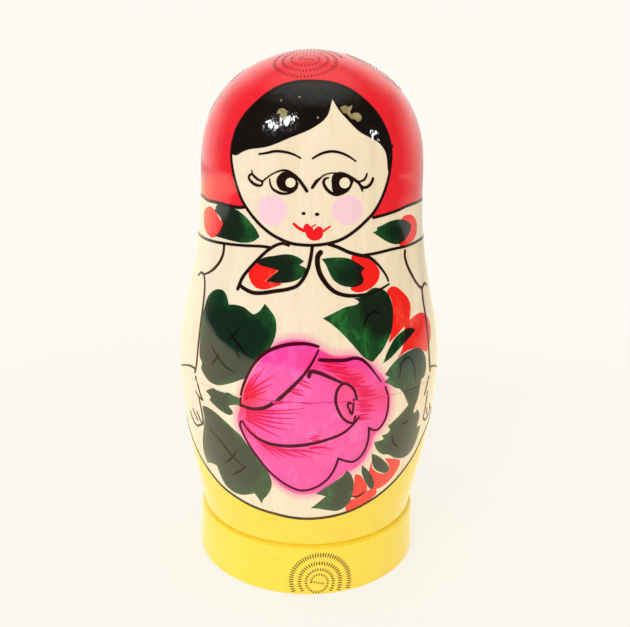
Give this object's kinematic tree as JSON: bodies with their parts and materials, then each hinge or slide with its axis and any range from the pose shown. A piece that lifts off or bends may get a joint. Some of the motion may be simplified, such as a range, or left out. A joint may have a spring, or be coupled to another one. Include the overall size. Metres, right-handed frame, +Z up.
{
  "type": "matryoshka nesting doll",
  "caption": "Painted turned-wood matryoshka: round dolls that open at the belly on a lip and socket, each standing inside the next larger one.",
  "frame": {"origin": "centre of the base of the largest doll, on the surface that it stands on", "axes": "+Z up along the turning axis; the painted faces look towards -Y"},
  "size_m": [0.0836, 0.0836, 0.16],
  "materials": {
    "painted_limewood": "gloss lacquer"
  },
  "bodies": {
    "first_doll_bottom": {"first_doll_bottom": "painted_limewood"},
    "first_doll_top": {"first_doll_top": "painted_limewood"},
    "second_doll_bottom": {"second_doll_bottom": "painted_limewood"},
    "second_doll_top": {"second_doll_top": "painted_limewood"},
    "third_doll_bottom": {"third_doll_bottom": "painted_limewood"},
    "third_doll_top": {"third_doll_top": "painted_limewood"},
    "fourth_doll_bottom": {"fourth_doll_bottom": "painted_limewood"},
    "fourth_doll_top": {"fourth_doll_top": "painted_limewood"},
    "fifth_doll_bottom": {"fifth_doll_bottom": "painted_limewood"},
    "fifth_doll_top": {"fifth_doll_top": "painted_limewood"},
    "sixth_doll_bottom": {"sixth_doll_bottom": "painted_limewood"},
    "sixth_doll_top": {"sixth_doll_top": "painted_limewood"},
    "seventh_doll": {"seventh_doll": "painted_limewood"}
  },
  "joints": [
    {"name": "first_top_lift", "type": "slide", "parent": "first_doll_bottom", "child": "first_doll_top", "axis": [0, 0, 1], "range_m": [0, 0.5383]},
    {"name": "second_doll_lift", "type": "slide", "parent": "first_doll_bottom", "child": "second_doll_bottom", "axis": [0, 0, 1], "range_m": [0, 0.065]},
    {"name": "second_top_lift", "type": "slide", "parent": "second_doll_bottom", "child": "second_doll_top", "axis": [0, 0, 1], "range_m": [0, 0.3929]},
    {"name": "third_doll_lift", "type": "slide", "parent": "second_doll_bottom", "child": "third_doll_bottom", "axis": [0, 0, 1], "range_m": [0, 0.0519]},
    {"name": "third_top_lift", "type": "slide", "parent": "third_doll_bottom", "child": "third_doll_top", "axis": [0, 0, 1], "range_m": [0, 0.2771]},
    {"name": "fourth_doll_lift", "type": "slide", "parent": "third_doll_bottom", "child": "fourth_doll_bottom", "axis": [0, 0, 1], "range_m": [0, 0.0417]},
    {"name": "fourth_top_lift", "type": "slide", "parent": "fourth_doll_bottom", "child": "fourth_doll_top", "axis": [0, 0, 1], "range_m": [0, 0.1845]},
    {"name": "fifth_doll_lift", "type": "slide", "parent": "fourth_doll_bottom", "child": "fifth_doll_bottom", "axis": [0, 0, 1], "range_m": [0, 0.0337]},
    {"name": "fifth_top_lift", "type": "slide", "parent": "fifth_doll_bottom", "child": "fifth_doll_top", "axis": [0, 0, 1], "range_m": [0, 0.1099]},
    {"name": "sixth_doll_lift", "type": "slide", "parent": "fifth_doll_bottom", "child": "sixth_doll_bottom", "axis": [0, 0, 1], "range_m": [0, 0.0275]},
    {"name": "sixth_top_lift", "type": "slide", "parent": "sixth_doll_bottom", "child": "sixth_doll_top", "axis": [0, 0, 1], "range_m": [0, 0.0495]},
    {"name": "seventh_doll_lift", "type": "slide", "parent": "sixth_doll_bottom", "child": "seventh_doll", "axis": [0, 0, 1], "range_m": [0, 0.0227]}
  ],
  "couplings": [
    {"joint": "second_doll_lift", "follows": "first_top_lift", "ratio": 0.12075},
    {"joint": "second_top_lift", "follows": "first_top_lift", "ratio": 0.72989},
    {"joint": "third_doll_lift", "follows": "first_top_lift", "ratio": 0.096414},
    {"joint": "third_top_lift", "follows": "first_top_lift", "ratio": 0.51477},
    {"joint": "fourth_doll_lift", "follows": "first_top_lift", "ratio": 0.077466},
    {"joint": "fourth_top_lift", "follows": "first_top_lift", "ratio": 0.34275},
    {"joint": "fifth_doll_lift", "follows": "first_top_lift", "ratio": 0.062604},
    {"joint": "fifth_top_lift", "follows": "first_top_lift", "ratio": 0.20416},
    {"joint": "sixth_doll_lift", "follows": "first_top_lift", "ratio": 0.051086},
    {"joint": "sixth_top_lift", "follows": "first_top_lift", "ratio": 0.091956},
    {"joint": "seventh_doll_lift", "follows": "first_top_lift", "ratio": 0.042169}
  ]
}
